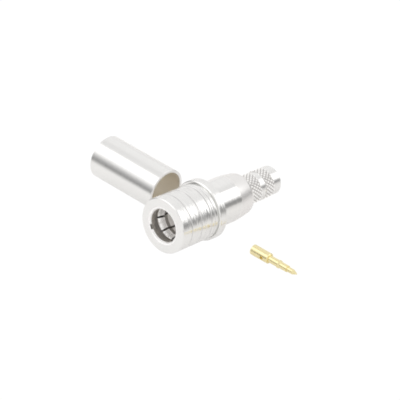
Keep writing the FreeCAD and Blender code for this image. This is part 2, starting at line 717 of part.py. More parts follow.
def place_set(pieces):
    """The plug lies on the rear edge of its grip and the end of its stem, nose up. The ferrule
    and the contact lie beside it on their own round sides."""
    grip_rest = number("grip_rear - grip_edge")
    stem_rest = number("plug_length - stem_edge")
    drop = number("grip_radius - stem_radius")
    tilt = math.atan2(drop, stem_rest - grip_rest)
    nose_height = grip_rest * math.sin(tilt) + number("grip_radius") * math.cos(tilt)
    nose = FreeCAD.Vector(number("plug_x"), number("plug_y"), nose_height)
    along_y = 90

    def lay_plug_piece(piece, roll=0.0):
        turn = FreeCAD.Rotation(along_y, math.degrees(tilt), roll)
        piece.Placement = FreeCAD.Placement(nose, turn)

    turned = ["coupling_sleeve", "body_shell", "stop_ring", "outer_contact", "insulator"]
    for name in turned + ["crimp_stem"]:
        lay_plug_piece(pieces[name])
    lay_plug_piece(pieces["latch_collet"], number("latch_turn"))

    axis = FreeCAD.Vector(0, math.cos(tilt), -math.sin(tilt))
    spring_start = number("spring_room_front + spring_gap + wire_radius")
    pieces["return_spring"].Placement = FreeCAD.Placement(
        nose + axis * spring_start, FreeCAD.Rotation(FreeCAD.Vector(0, 0, 1), axis)
    )
    pieces["crimp_ferrule"].Placement = FreeCAD.Placement(
        FreeCAD.Vector(number("ferrule_x"), number("ferrule_y"), number("ferrule_radius")),
        FreeCAD.Rotation(number("ferrule_yaw"), 0, 0),
    )
    pieces["centre_contact"].Placement = FreeCAD.Placement(
        FreeCAD.Vector(number("contact_x"), number("contact_y"), number("pot_radius")),
        FreeCAD.Rotation(number("contact_yaw"), 0, number("contact_roll")),
    )
    doc.recompute()


def check_document(pieces):
    for item in doc.Objects:
        if "Invalid" in item.State or "Error" in item.State:
            raise RuntimeError(f"{item.Label} failed: {item.State}")
    for name, piece in pieces.items():
        shape = piece.Shape
        if shape.isNull() or not shape.isValid() or not shape.Solids:
            raise RuntimeError(f"{name} has no valid solid")


fill_sheet()
parts = {
    "coupling_sleeve": make_coupling_sleeve(),
    "latch_collet": make_latch_collet(),
    "body_shell": make_body_shell(),
    "stop_ring": make_stop_ring(),
    "return_spring": make_return_spring(),
    "outer_contact": make_outer_contact(),
    "insulator": make_insulator(),
    "crimp_stem": make_crimp_stem(),
    "crimp_ferrule": make_crimp_ferrule(),
    "centre_contact": make_centre_contact(),
}
for node, part in parts.items():
    part.Label = node
place_set(parts)
check_document(parts)

os.makedirs("parts", exist_ok=True)
for node, part in parts.items():
    part.Shape.exportStep(f"parts/{node}.step")
    box = part.Shape.BoundBox
    print(
        f"{node}: {len(part.Shape.Solids)} solid, {part.Shape.Volume:.2f} mm3,"
        f" x {box.XMin:.2f} to {box.XMax:.2f}, y {box.YMin:.2f} to {box.YMax:.2f},"
        f" z {box.ZMin:.3f} to {box.ZMax:.2f}"
    )
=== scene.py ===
import math

import bmesh
import bpy
import numpy as np
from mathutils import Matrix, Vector


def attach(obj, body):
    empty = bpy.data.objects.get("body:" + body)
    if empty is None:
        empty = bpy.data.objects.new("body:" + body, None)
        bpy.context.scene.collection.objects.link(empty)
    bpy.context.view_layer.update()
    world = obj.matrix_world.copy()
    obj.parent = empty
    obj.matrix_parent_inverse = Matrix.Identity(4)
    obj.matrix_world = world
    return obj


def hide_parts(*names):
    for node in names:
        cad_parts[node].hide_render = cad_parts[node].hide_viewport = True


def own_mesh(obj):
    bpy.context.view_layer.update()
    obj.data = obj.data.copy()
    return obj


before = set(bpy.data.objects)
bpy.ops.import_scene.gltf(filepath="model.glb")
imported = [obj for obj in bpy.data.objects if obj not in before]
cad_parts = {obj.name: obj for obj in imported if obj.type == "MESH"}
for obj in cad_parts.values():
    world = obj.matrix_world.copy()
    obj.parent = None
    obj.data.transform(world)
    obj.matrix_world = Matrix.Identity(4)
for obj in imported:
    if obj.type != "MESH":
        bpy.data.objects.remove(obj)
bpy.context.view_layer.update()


# ---- Body shell ----
# The cylinder that the rest of the plug is built on. It is turned from brass with a fine,
# mirror-like cut and plated bright. A spigot in front carries the collet, a groove takes the stop
# ring, and the stem is pressed into its socket behind.

# Every turned piece is given as (station, radius) in millimetres: the distance along its axis from
# its front end, and the distance from the axis. The plug lies on the rear edge of its grip and on
# the end of its stem, so its axis falls from the middle of the front face back to the stem's end.
MM = 0.001
SHELL_R, GRIP_R, STEM_R = 4.15, 5.4, 2.6
GRIP_REST, STEM_REST = 10.11, 26.81
PLUG_TILT = math.atan2(GRIP_R - STEM_R, STEM_REST - GRIP_REST)
PLUG_AXIS = np.array((0.0, math.cos(PLUG_TILT), -math.sin(PLUG_TILT)))
NOSE_HEIGHT = GRIP_REST * math.sin(PLUG_TILT) + GRIP_R * math.cos(PLUG_TILT)
PLUG_NOSE = np.array((2.09, -13.09, NOSE_HEIGHT))
SILVER = (0.93, 0.93, 0.92)


def add_nodes(tree):
    """Short hand for building a node tree: make(kind, inputs, settings) returns the node."""

    def make(kind, inputs=None, **settings):
        node = tree.nodes.new(kind)
        for name, value in settings.items():
            setattr(node, name, value)
        for key, value in (inputs or {}).items():
            socket = node.inputs[key]
            if isinstance(value, bpy.types.NodeSocket):
                tree.links.new(value, socket)
            else:
                socket.default_value = value
        return node

    return make


def new_material(name):
    """Empty node material, as (material, tree, make)."""
    material = bpy.data.materials.new(name)
    material.use_nodes = True
    tree = material.node_tree
    tree.nodes.clear()
    return material, tree, add_nodes(tree)


def turning_marks_group():
    """Shared effect: the fine rings that a lathe leaves round a turned piece. Noise is squeezed
    along the axis and stretched round it, and comes out as a value from 0 to 1 and as a normal.
    Station and Radius say where on the piece a point lies, in millimetres."""
    group = bpy.data.node_groups.new("Turning marks", "ShaderNodeTree")
    sockets = [
        ("Start", "INPUT", "Vector"), ("Axis", "INPUT", "Vector"), ("Rings per mm", "INPUT", "Float"),
        ("Round the piece", "INPUT", "Float"), ("Depth", "INPUT", "Float"),
        ("Marks", "OUTPUT", "Float"), ("Station", "OUTPUT", "Float"), ("Radius", "OUTPUT", "Float"),
        ("Normal", "OUTPUT", "Vector"),
    ]
    for name, side, kind in sockets:
        group.interface.new_socket(name=name, in_out=side, socket_type=f"NodeSocket{kind}")
    make = add_nodes(group)
    given = group.nodes.new("NodeGroupInput").outputs

    def vector_math(operation, first, second):
        second_socket = 3 if operation == "SCALE" else 1
        return make("ShaderNodeVectorMath", {0: first, second_socket: second}, operation=operation)

    place = make("ShaderNodeTexCoord").outputs["Object"]
    place = vector_math("SCALE", place, 1 / MM).outputs[0]
    away = vector_math("SUBTRACT", place, given["Start"]).outputs[0]
    station = vector_math("DOT_PRODUCT", away, given["Axis"]).outputs["Value"]
    on_axis = vector_math("SCALE", given["Axis"], station).outputs[0]
    off_axis = vector_math("SUBTRACT", away, on_axis).outputs[0]
    radius = make("ShaderNodeVectorMath", {0: off_axis}, operation="LENGTH").outputs["Value"]
    along = make("ShaderNodeMath", {0: station, 1: given["Rings per mm"]}, operation="MULTIPLY")
    rings = vector_math("SCALE", given["Axis"], along.outputs[0]).outputs[0]
    around = vector_math("SCALE", away, given["Round the piece"]).outputs[0]
    where = vector_math("ADD", rings, around).outputs[0]
    noise = make(
        "ShaderNodeTexNoise", {"Vector": where, "Scale": 1.0, "Detail": 1.5, "Roughness": 0.6}
    )
    marks = noise.outputs["Fac"]
    bump = make(
        "ShaderNodeBump", {"Height": marks, "Distance": 0.06 * MM, "Strength": given["Depth"]}
    )
    make("NodeGroupOutput", {
        "Marks": marks, "Station": station, "Radius": radius, "Normal": bump.outputs["Normal"],
    })
    return group


TURNING_MARKS = turning_marks_group()


def turned_metal(
    name, start, axis, color, roughness, rings=9.0, around=0.35, depth=0.05, spread=0.08, zones=()
):
    """Plated metal with lathe marks, so many rings per mm along the axis and around per mm round
    it. Colour and roughness follow the marks, the roughness by the spread either way. Each zone is
    (radius, first station, last station, colour, roughness, glow): inside that radius and between
    those stations the surface has another colour and roughness. In some zones that is the
    plating's own finish, and in others it is painted shade or painted light, where a hollow, groove
    or bore lies in shade or catches light. The glows of zones that overlap are added up. A glow is
    painted light, for light that bounces about in a cavity or a valley, and a negative glow takes
    it away again."""
    material, tree, make = new_material(name)
    group = make("ShaderNodeGroup")
    group.node_tree = TURNING_MARKS
    given = {
        "Start": tuple(start), "Axis": tuple(axis), "Rings per mm": rings,
        "Round the piece": around, "Depth": depth,
    }
    for key, value in given.items():
        group.inputs[key].default_value = value
    marks, station, radius = (group.outputs[key] for key in ("Marks", "Station", "Radius"))
    surface_rough = make("ShaderNodeMapRange", {
        "Value": marks, "From Min": 0.3, "From Max": 0.7,
        "To Min": max(0.02, roughness - spread), "To Max": roughness + spread,
    }).outputs["Result"]
    tint = make("ShaderNodeMix", {"Factor": marks}, data_type="RGBA")
    tint.inputs["A"].default_value = (*[0.9 * part for part in color], 1.0)
    tint.inputs["B"].default_value = (*color, 1.0)
    surface_color = tint.outputs["Result"]
    surface_glow = 0.0
    edge = 0.02
    for zone_radius, first, last, zone_color, zone_rough, zone_glow in zones:
        inside = make("ShaderNodeMapRange", {
            "Value": radius, "From Min": zone_radius - edge, "From Max": zone_radius + edge,
            "To Min": 1.0, "To Max": 0.0,
        }).outputs["Result"]
        for end, sign in ((first, 1.0), (last, -1.0)):
            past_end = make("ShaderNodeMapRange", {
                "Value": station, "From Min": end - sign * edge, "From Max": end + sign * edge,
            }).outputs["Result"]
            inside = make("ShaderNodeMath", {0: inside, 1: past_end}, operation="MULTIPLY").outputs[0]
        # The zone's colour: the plating's own finish, or painted shade or painted light.
        finish_or_shade = make("ShaderNodeMix", {"Factor": inside}, data_type="RGBA")
        tree.links.new(surface_color, finish_or_shade.inputs["A"])
        finish_or_shade.inputs["B"].default_value = (*zone_color, 1.0)
        surface_color = finish_or_shade.outputs["Result"]
        surface_rough = make("ShaderNodeMapRange", {
            "Value": inside, "To Min": surface_rough, "To Max": zone_rough,
        }).outputs["Result"]
        surface_glow = make(
            "ShaderNodeMath", {0: inside, 1: zone_glow, 2: surface_glow}, operation="MULTIPLY_ADD"
        ).outputs[0]
    shader = make("ShaderNodeBsdfPrincipled", {
        "Base Color": surface_color, "Metallic": 1.0,
        "Roughness": surface_rough, "Normal": group.outputs["Normal"],
    })
    if zones:
        light = make("ShaderNodeMix", {"Factor": surface_glow}, data_type="RGBA")
        light.inputs["A"].default_value = (0.0, 0.0, 0.0, 1.0)
        light.inputs["B"].default_value = (1.0, 0.96, 0.92, 1.0)
        tree.links.new(light.outputs["Result"], shader.inputs["Emission Color"])
        shader.inputs["Emission Strength"].default_value = 1.0
    make("ShaderNodeOutputMaterial", {"Surface": shader.outputs["BSDF"]})
    return material


def frame_of(axis):
    """Two directions square to an axis: the first level, the second the one that points up."""
    level = np.cross(axis, (0.0, 0.0, 1.0))
    level /= np.linalg.norm(level)
    return level, np.cross(level, axis)


PLUG_LEVEL, PLUG_UP = frame_of(PLUG_AXIS)


def mesh_of(name, points, *faces, crease=20.0):
    """Mesh from points in millimetres and arrays of faces, one row for each face. Points that fall
    together are joined, faces are turned outwards and shaded smooth up to the crease angle."""
    mesh = bpy.data.meshes.new(name)
    mesh.from_pydata((points * MM).tolist(), [], sum((block.tolist() for block in faces), []))
    work = bmesh.new()
    work.from_mesh(mesh)
    bmesh.ops.remove_doubles(work, verts=work.verts, dist=1e-8)
    bmesh.ops.recalc_face_normals(work, faces=work.faces)
    work.to_mesh(mesh)
    work.free()
    mesh.shade_smooth()
    mesh.set_sharp_from_angle(angle=math.radians(crease))
    return mesh


def quads_between(first, second, count):
    """Quads that join two closed rings of count points. The rings' points are numbered from first
    and from second on, and both may be arrays, for many pairs of rings."""
    index = np.arange(count)
    beside = (index + 1) % count
    first, second = np.reshape(first, (-1, 1)), np.reshape(second, (-1, 1))
    corners = [first + index, first + beside, second + beside, second + index]
    return np.stack(corners, axis=-1).reshape(-1, 4)


def turned_mesh(name, outline, start, axis, segments=144):
    """Closed outline of (station, radius) turned round an axis: at the angle a the point is start
    + station * axis + radius * (cos a * level + sin a * up). Quads join each ring of such points to
    the next, and where both lie on the axis there is no face."""
    level, up = frame_of(axis)
    station, radius = np.array(outline).T
    angles = np.linspace(0.0, 2 * np.pi, segments, endpoint=False)
    spokes = np.outer(np.cos(angles), level) + np.outer(np.sin(angles), up)
    points = start + station[:, None, None] * axis + radius[:, None, None] * spokes
    ring = np.arange(len(outline))
    following = np.roll(ring, -1)
    off_axis = (radius > 0) | (radius[following] > 0)
    faces = quads_between(ring[off_axis] * segments, following[off_axis] * segments, segments)
    return mesh_of(name, points.reshape(-1, 3), faces)


def add_piece(name, mesh, material, body, node):
    """Object for a finished mesh, which stands for its CAD node and rides on its body. A mesh that
    has its materials already is given None."""
    if material:
        mesh.materials.clear()
        mesh.materials.append(material)
    piece = bpy.data.objects.new(name, mesh)
    bpy.context.scene.collection.objects.link(piece)
    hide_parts(node)
    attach(piece, body)
    return piece


SEAM = 15.35
SPIGOT_FRONT, SPIGOT_R, FINE_EDGE = 5.9, 3.28, 0.07
COLLET_END = 7.4
RING_FRONT, RING_REAR, RING_GROOVE_R = 8.66, 9.4, 3.77
WEB_FRONT, WEB_REAR, WEB_R = 9.7, 11.6, 1.6
CONTACT_SEAT_R, STEM_SEAT_R = 2.32, 3.02
shell_outline = [
    (SPIGOT_FRONT, CONTACT_SEAT_R), (SPIGOT_FRONT, SPIGOT_R - FINE_EDGE),
    (SPIGOT_FRONT + FINE_EDGE, SPIGOT_R), (COLLET_END, SPIGOT_R), (COLLET_END, SHELL_R - FINE_EDGE),
    (COLLET_END + FINE_EDGE, SHELL_R), (RING_FRONT, SHELL_R), (RING_FRONT, RING_GROOVE_R),
    (RING_REAR, RING_GROOVE_R), (RING_REAR, SHELL_R), (SEAM, SHELL_R), (SEAM, STEM_SEAT_R),
    (WEB_REAR, STEM_SEAT_R), (WEB_REAR, WEB_R), (WEB_FRONT, WEB_R), (WEB_FRONT, CONTACT_SEAT_R),
]
shell_metal = turned_metal(
    "shell_silver", PLUG_NOSE, PLUG_AXIS, SILVER, 0.1, rings=3.0, around=0.2, depth=0.25, spread=0.05
)
shell_mesh = turned_mesh("shell", shell_outline, PLUG_NOSE, PLUG_AXIS)
add_piece("body_shell_finish", shell_mesh, shell_metal, "plug_body", "body_shell")


# ---- Crimp stem ----
# Turned from the same brass and pressed into the shell's socket, up to a seam that hardly shows.
# Behind a rounded, satin shoulder is the stem for the cable, with two rolled bands of diamond knurl.
STEM_BORE, STEM_FIT_R, STEM_FRONT, STEM_END, STEM_EDGE = 1.95, 3.0, 11.62, 26.93, 0.12
SHOULDER_KNEE, SHOULDER_KNEE_R, SHOULDER_BEND = 18.2, 3.81, 40.0
SHOULDER_END, SHOULDER_END_R, KNEE_BEND = 19.35, 2.85, 1.3
KNURL_COUNT, KNURL_ROW = 24, 0.4
VALLEY_R, TIP_R = 2.57, 2.77
KNURL_CORE, KNURL_BORE = VALLEY_R - 0.1, VALLEY_R - 0.15
KNURLS = [(19.5, 6), (23.05, 5)]


def arc(first, last, radius, steps):
    """Points of a curve from first to last, as (station, radius), that bulges away from the axis:
    equal steps round the circle through both ends whose centre lies on the axis side."""
    first, last = np.array(first), np.array(last)
    chord = last - first
    length = np.hypot(*chord)
    across = np.array((-chord[1], chord[0])) / length
    centre = (first + last) / 2 - across * math.sqrt(radius**2 - (length / 2) ** 2)
    start = math.atan2(*(first - centre)[::-1])
    end = math.atan2(*(last - centre)[::-1])
    angles = np.linspace(start, end, steps + 1)
    return (centre + radius * np.column_stack([np.cos(angles), np.sin(angles)])).tolist()


def knurl_mesh(first, rows):
    """Ring of raised diamonds on a grid of half rows along the axis and two columns for each
    diamond round it. Grid points whose row + column is even are valleys at VALLEY_R, and the others
    are tips at TIP_R. A tip has four flat flanks, down to the valleys on its left and right and in
    the row before it and the row after it. A smooth bore closes the ring inside."""
    columns = 2 * KNURL_COUNT
    row, column = np.indices((rows + 1, columns))
    radius = np.where((row + column) % 2 == 0, VALLEY_R, TIP_R)
    radius = np.pad(radius, ((1, 1), (0, 0)), constant_values=KNURL_BORE)
    station = first + KNURL_ROW * np.pad(row, ((1, 1), (0, 0)), mode="edge")
    angle = np.pi * np.arange(columns) / KNURL_COUNT
    spokes = np.outer(np.cos(angle), PLUG_LEVEL) + np.outer(np.sin(angle), PLUG_UP)
    points = PLUG_NOSE + station[:, :, None] * PLUG_AXIS + radius[:, :, None] * spokes
    tip_row, tip_column = np.nonzero((row + column) % 2 == 1)
    flanks = []
    for step in (-1, 1):
        reached = (tip_row + step >= 0) & (tip_row + step <= rows)
        ring, place = (tip_row[reached] + 1) * columns, tip_column[reached]
        tip, foot = ring + place, ring + step * columns + place
        left, right = ring + (place - 1) % columns, ring + (place + 1) % columns
        flanks += [np.column_stack([tip, left, foot]), np.column_stack([tip, foot, right])]
    last = (rows + 2) * columns
    ends = quads_between([0, last - columns, last], [columns, last, 0], columns)
    return mesh_of("knurl", points.reshape(-1, 3), *flanks, ends, crease=5.0)


def joined(meshes):
    """One mesh from several that lie against each other."""
    work = bmesh.new()
    for mesh in meshes:
        work.from_mesh(mesh)
    result = bpy.data.meshes.new("joined")
    work.to_mesh(result)
    work.free()
    return result


knee = (SHOULDER_KNEE, SHOULDER_KNEE_R)
stem_outline = [
    (STEM_FRONT, STEM_BORE), (STEM_FRONT, STEM_FIT_R), (SEAM, STEM_FIT_R),
    *arc((SEAM, SHELL_R), knee, SHOULDER_BEND, 8),
    *arc(knee, (SHOULDER_END, SHOULDER_END_R), KNEE_BEND, 12)[1:],
    (SHOULDER_END, STEM_R),
]
# The tips of the diamonds get a painted highlight, a glow, and the valleys between them painted shade:
# a darker colour, with a negative glow that cancels the tips' glow.
knurl_highlights_and_shade = []
for knurl_start, knurl_rows in KNURLS:
    knurl_end = knurl_start + KNURL_ROW * knurl_rows
    stem_outline += [
        (knurl_start, STEM_R), (knurl_start, KNURL_CORE),
        (knurl_end, KNURL_CORE), (knurl_end, STEM_R),
    ]
    knurl_highlights_and_shade += [
        (2.90, knurl_start, knurl_end, SILVER, 0.3, 0.18),
        (2.64, knurl_start, knurl_end, (0.60, 0.59, 0.58), 0.3, -0.18),
    ]
stem_outline += [
    (STEM_END - STEM_EDGE, STEM_R), (STEM_END, STEM_R - STEM_EDGE), (STEM_END, STEM_BORE),
]
# Inside the bore the plating is darker and gets a faint glow of painted light; the satin shoulder has
# its own finish.
stem_metal = turned_metal(
    "stem_silver", PLUG_NOSE, PLUG_AXIS, SILVER, 0.2, depth=0.03, spread=0.06,
    zones=[
        (2.0, 11.7, 26.88, (0.85, 0.84, 0.82), 0.4, 0.035),
        (4.3, SEAM, 19.42, (0.90, 0.89, 0.88), 0.32, 0.0),
        *knurl_highlights_and_shade,
    ],
)
stem_mesh = joined([
    turned_mesh("stem", stem_outline, PLUG_NOSE, PLUG_AXIS),
    *[knurl_mesh(knurl_start, knurl_rows) for knurl_start, knurl_rows in KNURLS],
])
add_piece("crimp_stem_finish", stem_mesh, stem_metal, "plug_body", "crimp_stem")


# ---- Latch collet ----
# Spring tube that is pressed onto the shell's spigot and seen through the mouth. Eight sawn slots
# part it into fingers, whose hooks lead in at a long ramp and catch at a steep face behind it.
COLLET_FRONT, COLLET_R, COLLET_BORE, COLLET_EDGE, COLLET_GAP = 2.1, 3.62, 3.3, 0.1, 0.02
# The ramp falls from its radius at the front to the land, the land to the hook's tip, and the
# catch face rises from there to its foot on the bore.
RAMP_R, LAND, LAND_R = 3.22, 2.9, 2.95
HOOK, HOOK_R, CATCH, CATCH_R, CATCH_FOOT = 3.33, 2.85, 3.38, 2.86, 3.45
SLOT_COUNT, SLOT_WIDTH, SLOT_REAR, FIRST_SLOT_TURN = 8, 0.36, 6.2, 56.5


def slot_cutter(turn, width, stations, radii):
    """Block that cuts a slot into the plug, at a turn in degrees round the axis. Its corners are
    nose + station * axis + radius * outward + side * sideways, with both stations, both radii and
    half the width to either side."""
    angle = math.radians(turn)
    outward = math.cos(angle) * PLUG_LEVEL + math.sin(angle) * PLUG_UP
    sideways = np.cross(PLUG_AXIS, outward)
    corners = np.meshgrid(radii, (-width / 2, width / 2), stations, indexing="ij")
    points = PLUG_NOSE + np.reshape(corners, (3, -1)).T @ np.array([outward, sideways, PLUG_AXIS])
    faces = [(0, 1, 3, 2), (4, 6, 7, 5), (0, 4, 5, 1), (2, 3, 7, 6), (0, 2, 6, 4), (1, 5, 7, 3)]
    return mesh_of("cutter", points, np.array(faces))


def cut_away(mesh, cutters, skins=()):
    """Mesh less the volume of each cutter mesh. With two skins, the first is the mesh's material
    and the second that of the cut faces."""
    if skins:
        mesh.materials.append(skins[0])
        for cutter in cutters:
            cutter.materials.append(skins[1])
    body = bpy.data.objects.new("to_cut", mesh)
    bpy.context.scene.collection.objects.link(body)
    tools = []
    for cutter in cutters:
        tool = bpy.data.objects.new("cutter", cutter)
        bpy.context.scene.collection.objects.link(tool)
        tools.append(tool)
        cut = body.modifiers.new("cut", "BOOLEAN")
        cut.operation = "DIFFERENCE"
        cut.solver = "EXACT"
        cut.material_mode = "TRANSFER" if skins else "INDEX"
        cut.object = tool
    bpy.context.view_layer.update()
    worked_out = body.evaluated_get(bpy.context.evaluated_depsgraph_get())
    result = bpy.data.meshes.new_from_object(worked_out)
    for thing in [body, *tools]:
        bpy.data.objects.remove(thing)
    result.shade_smooth()
    result.set_sharp_from_angle(angle=math.radians(20))
    return result


collet_outline = [
    (COLLET_FRONT, RAMP_R), (COLLET_FRONT, COLLET_R - COLLET_EDGE),
    (COLLET_FRONT + COLLET_EDGE, COLLET_R), (COLLET_END - COLLET_GAP, COLLET_R),
    (COLLET_END - COLLET_GAP, COLLET_BORE), (CATCH_FOOT, COLLET_BORE), (CATCH, CATCH_R),
    (HOOK, HOOK_R), (LAND, LAND_R),
]
# The fingers' hook ramps and the bore wall behind the recess get painted light, a glow, and the recess
# just behind the hooks painted shade, a dark colour.
collet_metal = turned_metal(
    "collet_silver", PLUG_NOSE, PLUG_AXIS, (0.90, 0.88, 0.86), 0.25, depth=0.02,
    zones=[
        (3.24, 2.05, 3.37, (0.93, 0.94, 0.95), 0.22, 0.25),
        (3.4, 3.39, 4.6, (0.42, 0.40, 0.38), 0.4, 0.02),
        (3.4, 4.45, 7.4, (0.90, 0.89, 0.88), 0.3, 0.07),
    ],
)
# The slots' cut faces are painted near black: painted shade for the dark inside of the slots.
slot_painted_shade = turned_metal("slot_painted_shade", PLUG_NOSE, PLUG_AXIS, (0.08, 0.07, 0.07), 0.5, depth=0.0)
slots = [
    slot_cutter(
        FIRST_SLOT_TURN + index * 360 / SLOT_COUNT, SLOT_WIDTH,
        stations=(COLLET_FRONT - 0.2, SLOT_REAR), radii=(HOOK_R - 0.25, COLLET_R + 0.18),
    )
    for index in range(SLOT_COUNT)
]
collet_mesh = turned_mesh("collet", collet_outline, PLUG_NOSE, PLUG_AXIS, 160)
collet_mesh = cut_away(collet_mesh, slots, (collet_metal, slot_painted_shade))
add_piece("latch_collet_finish", collet_mesh, None, "plug_body", "latch_collet")


# ---- Outer contact ----
# Thin tube of plated brass, pressed into the shell deep inside the mouth, where it meets the jack's
# own tube.


def finished_copy(node, material, body="plug_body", crease=13.0):
    """Copy of a CAD node with its triangles joined and its curved faces shaded smooth."""
    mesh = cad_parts[node].data.copy()
    work = bmesh.new()
    work.from_mesh(mesh)
    bmesh.ops.remove_doubles(work, verts=work.verts, dist=1e-7)
    work.to_mesh(mesh)
    work.free()
    mesh.shade_smooth()
    mesh.set_sharp_from_angle(angle=math.radians(crease))
    return add_piece(f"{node}_finish", mesh, material, body, node)


# It shares the collet's material, so deep in the mouth it gets the same painted glow as the wall
# behind the collet's recess.
finished_copy("outer_contact", collet_metal)


# ---- Insulator ----
# Bead of white fluoroplastic, turned and pressed into the outer contact. It holds the centre
# contact, which is pushed in from behind.


def white_plastic():
    """Turned fluoroplastic: white and waxy, with slow changes of tone."""
    material, _, make = new_material("white_fluoroplastic")
    place = make("ShaderNodeTexCoord").outputs["Object"]
    noise = make("ShaderNodeTexNoise", {"Vector": place, "Scale": 900.0, "Detail": 2.0})
    tint = make("ShaderNodeMix", {"Factor": noise.outputs["Fac"]}, data_type="RGBA")
    tint.inputs["A"].default_value = (0.86, 0.86, 0.84, 1.0)
    tint.inputs["B"].default_value = (0.92, 0.92, 0.90, 1.0)
    shader = make(
        "ShaderNodeBsdfPrincipled", {"Base Color": tint.outputs["Result"], "Roughness": 0.45}
    )
    make("ShaderNodeOutputMaterial", {"Surface": shader.outputs["BSDF"]})
    return material


finished_copy("insulator", white_plastic())


# ---- Stop ring and return spring ----
# The stop ring is a snap ring of spring steel in the shell's groove. The spring is coiled from round
# wire of the same steel, between the step in the sleeve and the ring, and shortens towards the ring
# as the sleeve slides back.
SPRING_FRONT, SPRING_REAR, SPRING_TURNS = 5.62, 8.46, 4.5
COIL_R, WIRE_R = 4.375, 0.17
spring_steel = turned_metal("spring_steel", PLUG_NOSE, PLUG_AXIS, (0.62, 0.62, 0.63), 0.3)
finished_copy("stop_ring", spring_steel, body="spring_and_ring")


def coil_mesh(start, end, coil_radius, wire_radius, turns):
    """Round wire along a helix. The wire's centre is coil_radius from the axis at an angle that
    grows evenly with the distance along it, and the wire's skin is a circle about that centre, in
    the plane of the axis and the centre. A flat face closes each end."""
    steps, sides = int(turns * 48), 14
    axis = (end - start) / np.linalg.norm(end - start)
    sideways = np.cross(axis, (1.0, 0.0, 0.0))
    upright = np.cross(axis, sideways)
    share = np.linspace(0.0, 1.0, steps + 1)
    angle = 2 * np.pi * turns * share
    outward = np.outer(np.cos(angle), sideways) + np.outer(np.sin(angle), upright)
    centre = start + np.outer(share, end - start) + coil_radius * outward
    across = np.linspace(0.0, 2 * np.pi, sides, endpoint=False)
    skin = outward[:, None] * np.cos(across)[:, None] + axis * np.sin(across)[:, None]
    points = centre[:, None] + wire_radius * skin
    rings = np.arange(steps) * sides
    ends = np.arange(sides) + np.array([[0], [steps * sides]])
    walls = quads_between(rings, rings + sides, sides)
    return mesh_of("spring_coil", points.reshape(-1, 3), walls, ends, crease=50.0)


coil = coil_mesh(
    PLUG_NOSE + PLUG_AXIS * SPRING_FRONT, PLUG_NOSE + PLUG_AXIS * SPRING_REAR,
    COIL_R, WIRE_R, SPRING_TURNS,
)
spring = add_piece(
    "return_spring_coil", coil, spring_steel, "spring_and_ring", "return_spring"
)
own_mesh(spring)


# ---- Coupling sleeve ----
# Turned in one piece from brass, with bright white-bronze plating and strong turning marks. It has
# three fine grip grooves, a raised grip at the rear, and three notches in the lip of the mouth. Its
# rear wall slides and turns on the shell.
SLEEVE_R, MOUTH_R, MOUTH_FLARE, FLARE_DEPTH = 5.0, 2.96, 0.21, 0.35
GRIP_FRONT, GRIP_REAR, GRIP_EDGE = 8.52, 10.25, 0.14
RELIEF_WIDTH, RELIEF_DEPTH = 0.2, 0.16
FRONT_WALL, NOSE_ROOT_R, NOSE_END, NOSE_END_R = 0.8, MOUTH_R + 0.19, 1.2, MOUTH_R + 0.06
FINGER_ROOM_R, SPRING_STEP, SPRING_ROOM_R, REAR_WALL = 4.2, 5.4, 4.6, 9.4
SLIDE_R = SHELL_R + 0.05
NOTCH_COUNT, NOTCH_WIDTH, NOTCH_REAR, NOTCH_FLOOR_R, FIRST_NOTCH_TURN = 3, 0.92, 1.3, 3.14, 90
# The rounded front edge, as (station, how far it lies below the sleeve's skin).
FRONT_EDGE = [(0.0, 0.14), (0.1, 0.04), (0.17, 0.008), (0.27, 0.0)]
# Each groove is (station, half its width, depth). The last one is a finer line before the grip.
GRIP_GROOVES = [(2.17, 0.11, 0.07), (4.53, 0.11, 0.07), (6.89, 0.11, 0.07), (7.76, 0.08, 0.09)]
sleeve_outline = [(0.0, MOUTH_R + MOUTH_FLARE)]
sleeve_outline += [(station, SLEEVE_R - below) for station, below in FRONT_EDGE]
for groove, half_width, groove_depth in GRIP_GROOVES:
    sleeve_outline += [
        (groove - half_width, SLEEVE_R), (groove, SLEEVE_R - groove_depth),
        (groove + half_width, SLEEVE_R),
    ]
sleeve_outline += [
    (GRIP_FRONT - RELIEF_WIDTH, SLEEVE_R), (GRIP_FRONT - RELIEF_WIDTH, SLEEVE_R - RELIEF_DEPTH),
    (GRIP_FRONT, SLEEVE_R - RELIEF_DEPTH), (GRIP_FRONT, GRIP_R - GRIP_EDGE),
    (GRIP_FRONT + GRIP_EDGE, GRIP_R), (GRIP_REAR - GRIP_EDGE, GRIP_R),
    (GRIP_REAR, GRIP_R - GRIP_EDGE), (GRIP_REAR, SLIDE_R), (REAR_WALL, SLIDE_R),
    (REAR_WALL, SPRING_ROOM_R), (SPRING_STEP, SPRING_ROOM_R), (SPRING_STEP, FINGER_ROOM_R),
    (FRONT_WALL, FINGER_ROOM_R), (FRONT_WALL, NOSE_ROOT_R), (NOSE_END, NOSE_END_R),
    (NOSE_END, MOUTH_R), (FLARE_DEPTH, MOUTH_R),
]
# Painted shade darkens the floors of the grip grooves, the inside of the sleeve and the lip's wall,
# with faint glows of painted light inside; the mouth's rounded edge gets a painted highlight, white
# with a glow.
sleeve_metal = turned_metal(
    "sleeve_silver", PLUG_NOSE, PLUG_AXIS, SILVER, 0.15,
    rings=3.6, around=0.2, depth=1.5, spread=0.1,
    zones=[
        (4.955, 1.5, 8.0, (0.45, 0.44, 0.44), 0.3, 0.0),
        (3.38, -0.5, 0.3, (1.0, 1.0, 1.0), 0.6, 0.13),
        (4.7, 0.37, 9.3, (0.66, 0.62, 0.57), 0.25, 0.02),
        (4.25, 1.25, 3.3, (0.60, 0.56, 0.51), 0.4, 0.055),
        (3.2, 0.37, 1.25, (0.51, 0.48, 0.44), 0.3, 0.0),
    ],
)
